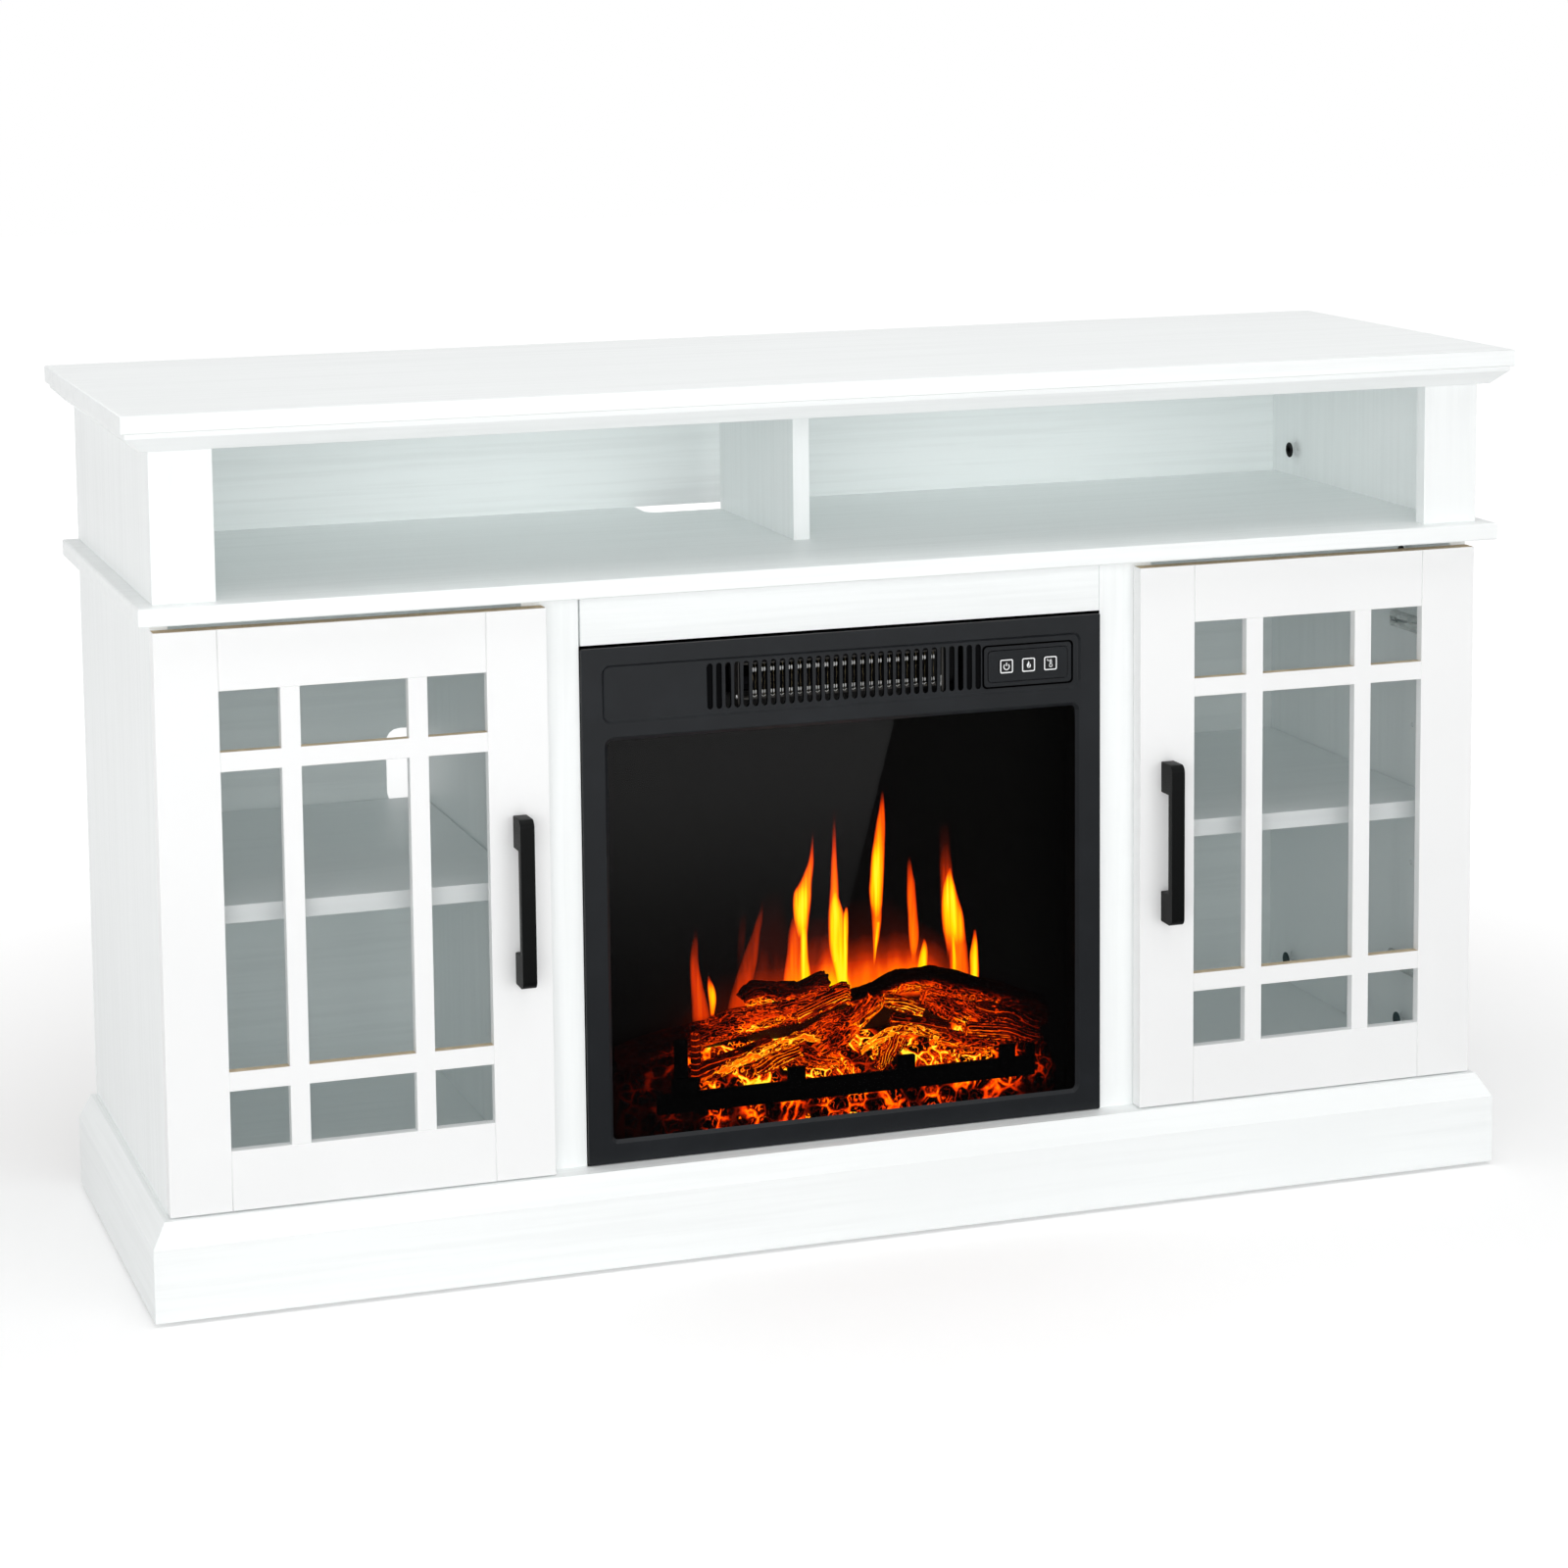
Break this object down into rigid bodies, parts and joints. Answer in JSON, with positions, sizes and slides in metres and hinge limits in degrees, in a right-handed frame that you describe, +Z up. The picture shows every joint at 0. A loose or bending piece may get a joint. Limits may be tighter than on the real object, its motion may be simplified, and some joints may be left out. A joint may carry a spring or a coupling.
{
  "type": "fireplace tv stand",
  "caption": "White media cabinet with open upper bays, glazed side doors, shelves and a central electric fire insert with slotted heater grille.",
  "frame": {"origin": "on the floor, under the middle of the cabinet", "axes": "+X along the width to the viewer's right, -Y out of the front with the doors and the fire, +Z up"},
  "size_m": [1.22, 0.404, 0.738],
  "materials": {
    "white_board": "satin white laminate on particle board",
    "hardboard": "white faced hardboard",
    "black_pull": "matte black",
    "black_plastic": "matte",
    "slate_bezel": "satin dark slate",
    "housing_steel": "black powder coat",
    "bright_metal": "nickel plated",
    "pane_glass": "clear pane",
    "fire_glass": "grey tinted pane",
    "screen": "smoked translucent",
    "log": "moulded and painted, lit from below",
    "foil": "bright foil"
  },
  "bodies": {
    "cabinet": {"top_panel": "white_board", "cornice_front": "white_board", "cornice_left": "white_board", "cornice_right": "white_board", "upper_side_left": "white_board", "upper_side_right": "white_board", "upper_post_left": "white_board", "upper_post_right": "white_board", "upper_divider": "white_board", "mid_shelf": "white_board", "side_panel_left": "white_board", "side_panel_right": "white_board", "partition_left": "white_board", "partition_right": "white_board", "bottom_panel": "white_board", "centre_stile_left": "white_board", "centre_stile_right": "white_board", "centre_rail": "white_board", "plinth_front": "white_board", "plinth_left": "white_board", "plinth_right": "white_board", "foot_front_left": "black_plastic", "foot_front_right": "black_plastic", "foot_rear_left": "black_plastic", "foot_rear_right": "black_plastic", "back_panel_upper": "hardboard", "back_panel_left": "hardboard", "back_panel_right": "hardboard", "shelf_left": "white_board", "shelf_right": "white_board", "hinge_arm_lower_left": "bright_metal", "hinge_arm_lower_right": "bright_metal", "hinge_arm_upper_left": "bright_metal", "hinge_arm_upper_right": "bright_metal", "bezel": "slate_bezel", "control_panel": "slate_bezel", "fire_glass": "fire_glass", "housing": "housing_steel", "heater_element": "bright_metal", "blower_motor": "housing_steel", "flame_screen": "screen", "rod_motor": "housing_steel", "log_set": "log"},
    "left_door": {"door_frame_left": "white_board", "door_grid_left": "white_board", "door_glass_left": "pane_glass", "door_pull_left": "black_pull", "hinge_cup_lower_left": "bright_metal", "hinge_cup_upper_left": "bright_metal"},
    "right_door": {"door_frame_right": "white_board", "door_grid_right": "white_board", "door_glass_right": "pane_glass", "door_pull_right": "black_pull", "hinge_cup_lower_right": "bright_metal", "hinge_cup_upper_right": "bright_metal"},
    "power_key": {"power_button": "black_plastic"},
    "flame_key": {"flame_button": "black_plastic"},
    "heat_key": {"heat_button": "black_plastic"},
    "blower_drum": {"blower_wheel": "bright_metal"},
    "flame_spindle": {"flame_rod": "foil"}
  },
  "joints": [
    {"name": "left_door_hinge", "type": "hinge", "parent": "cabinet", "child": "left_door", "pos_m": [-0.5805, -0.175, 0.32275], "axis": [0, 0, -1], "range_deg": [0, 105]},
    {"name": "right_door_hinge", "type": "hinge", "parent": "cabinet", "child": "right_door", "pos_m": [0.5805, -0.175, 0.32275], "axis": [0, 0, 1], "range_deg": [0, 105]},
    {"name": "power_button_press", "type": "slide", "parent": "cabinet", "child": "power_key", "axis": [0, 1, 0], "range_m": [0, 0.0008], "stiffness_N_per_m": 600},
    {"name": "flame_button_press", "type": "slide", "parent": "cabinet", "child": "flame_key", "axis": [0, 1, 0], "range_m": [0, 0.0008], "stiffness_N_per_m": 600},
    {"name": "heat_button_press", "type": "slide", "parent": "cabinet", "child": "heat_key", "axis": [0, 1, 0], "range_m": [0, 0.0008], "stiffness_N_per_m": 600},
    {"name": "blower_spin", "type": "hinge", "parent": "cabinet", "child": "blower_drum", "pos_m": [0, -0.095, 0.4835], "axis": [1, 0, 0], "continuous": true},
    {"name": "flame_rod_spin", "type": "hinge", "parent": "cabinet", "child": "flame_spindle", "pos_m": [0, -0.06, 0.1515], "axis": [1, 0, 0], "continuous": true}
  ]
}
